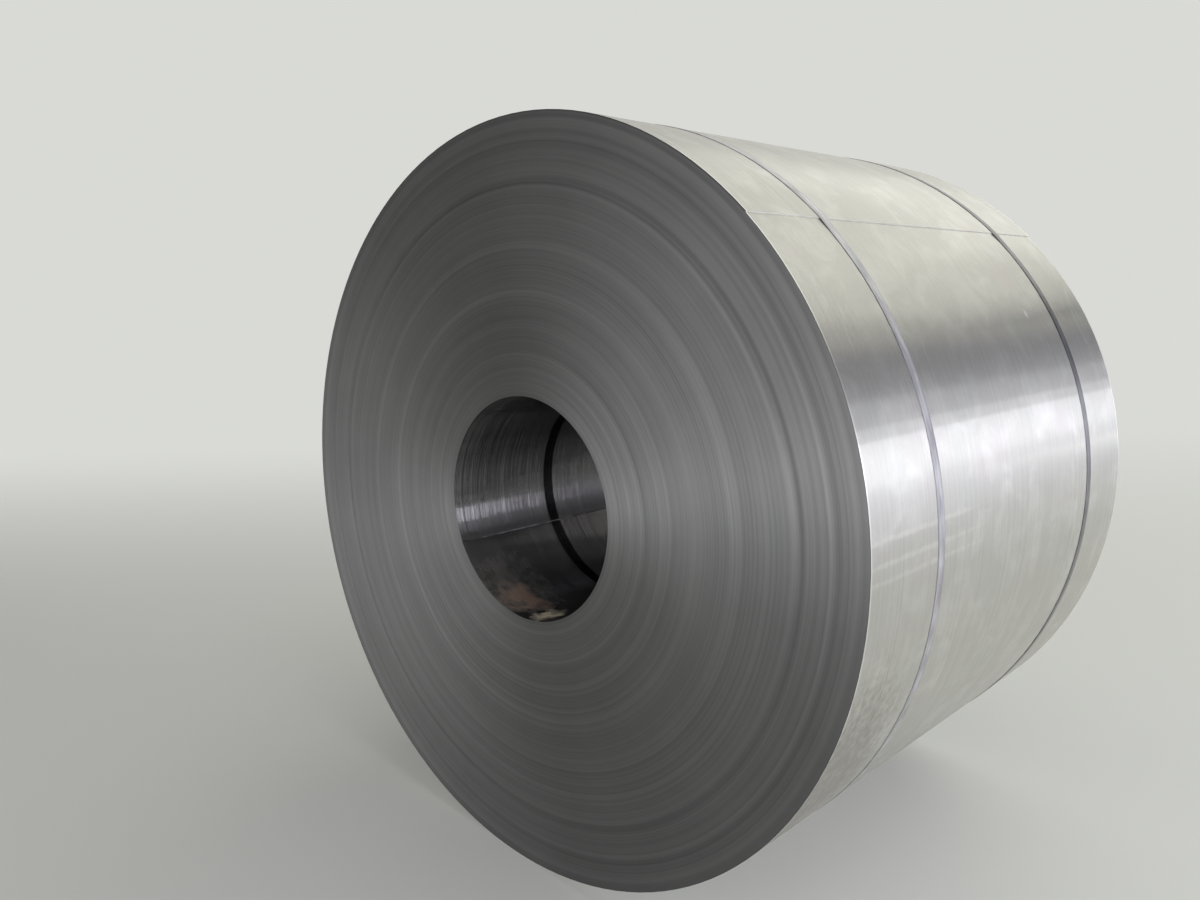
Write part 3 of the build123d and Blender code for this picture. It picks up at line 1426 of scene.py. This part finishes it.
def outside_marks(winding: Winding) -> tuple[Mark, ...]:
    """Marks that handling left on the outside of the coil.

    Args:
        winding: the spiral of the strip.

    Returns:
        A small white scuff, a double curved scratch near the rear edge, a rub mark beside it,
        a darker patch low on the side, and three pale lines along the axis at the front, which
        are painted reflections.
    """
    scuff, scratch, low_dark_patch, *lines = (
        along_strip(winding, angle, winding.skin(angle))
        for angle in (33.5, 31.3, 333.0, 8.2, 5.4, 3.4)
    )
    return (
        Mark((0.252, scuff), (0.009, 0.013), "#ffffff", 0.9),
        Mark((0.543, scratch), (0.0035, 0.130), "#ffffff", 0.55, bend=5.0),
        Mark((0.572, scratch + 0.045), (0.0030, 0.075), "#ffffff", 0.45, bend=5.0),
        Mark((0.490, scratch + 0.020), (0.045, 0.060), "#cdbfb4", 0.30),
        # A darker patch low on the side.
        Mark((-0.560, low_dark_patch), (0.170, 0.300), "#968c86", 0.50),
        # Painted reflections: three pale lines along the axis at the front.
        *(Mark((-0.460, line), (0.300, 0.0065), "#f7f5ee", 0.45) for line in lines),
    )


def bore_marks(winding: Winding) -> tuple[Mark, ...]:
    """Rust, dust and painted highlights in the bore, most of them near its mouth.

    Args:
        winding: the spiral of the strip.

    Returns:
        Grime with a brown patch in it, a bright tan crescent of dust that is partly painted
        light, and a painted highlight along the head's edge.
    """
    grime, patch, dust_and_painted_light, edge = (
        along_strip(winding, angle, winding.bore_radius)
        for angle in (247.0, 256.0, 278.0, 210.9)
    )
    return (
        Mark((-0.550, grime), (0.100, 0.150), "#77705f", 0.40, dusty=True),
        Mark((-0.565, patch), (0.065, 0.080), "#ab8873", 0.65, dusty=True),
        # Dust near the mouth, painted near white: partly dust, partly painted light where
        # lamps shine in.
        Mark((-0.585, dust_and_painted_light), (0.060, 0.036), "#fff0d4", 1.0, dusty=True),
        # Painted highlight: a thin bright line along the edge of the strip's head.
        Mark((-0.420, edge), (0.210, 0.0030), "#d8d8de", 0.9, dusty=True),
    )


def report(piece: Object) -> None:
    """Log a piece's name and how many faces it has."""
    log.info("%s: %d faces", piece.name, len(piece.data.polygons))


def main() -> None:
    """Build the coil, its straps and its seals, and set them in the studio."""
    logging.basicConfig(level=logging.INFO)
    bore = frame["record"]["mounts"][0]
    winding = Winding(axis_x=bore["pos_m"][0], axis_z=bore["pos_m"][2],
                      bore_radius=bore["dims"]["r_mm"] * MM)
    straps = []
    for name, seal_angle in (("front", 112.0), ("rear", 119.0)):
        low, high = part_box(f"strap_{name}")
        straps.append(Strap(
            winding, f"strap_{name}", middle_y=(low[1] + high[1]) / 2,
            lean=(high[1] - low[1] - Strap.width) / 2, seal_angle=seal_angle,
        ))

    low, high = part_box("coil")
    width = bore["dims"]["length_mm"] * MM
    held = tuple(float(strap.middle(winding.tail_angle)) for strap in straps)
    coil = WoundCoil(winding, low[1] + width / 2, width, held)
    edges = (coil.middle_y - width / 2, coil.middle_y + width / 2)
    report(coil.piece({
        Face.ENDS: SlitEdges().material(),
        Face.OUTSIDE: RolledSkin(rim_highlight_places=edges, marks=outside_marks(winding)).material(),
        Face.BORE: BoreSkin(marks=bore_marks(winding)).material(),
        Face.TAIL: ShearedTail().material(),
    }))
    rubbed = StrappingSteel("rubbed_high_tensile_strapping", "#dddce0", "#b3b2b7", "#b4b4b9",
                            roughness=0.50, anisotropy=0.3)
    waxed = StrappingSteel("waxed_high_tensile_strapping", "#9e9ea1", "#858588", "#717174",
                           roughness=0.30, anisotropy=0.9)
    sealing = SealSteel().material()
    for strap, strapping in zip(straps, (rubbed, waxed)):
        report(strap.piece(strapping.material()))
        angle = strap.seal_angle
        seal = Seal(winding, strap.node.replace("strap", "seal"),
                    float(strap.middle(angle)), strap.slope(angle), angle)
        report(seal.piece(sealing))

    Studio().build()
    PhotoCamera().build()
    bpy.context.scene.view_settings.view_transform = "Standard"


if __name__ == "__main__":
    main()
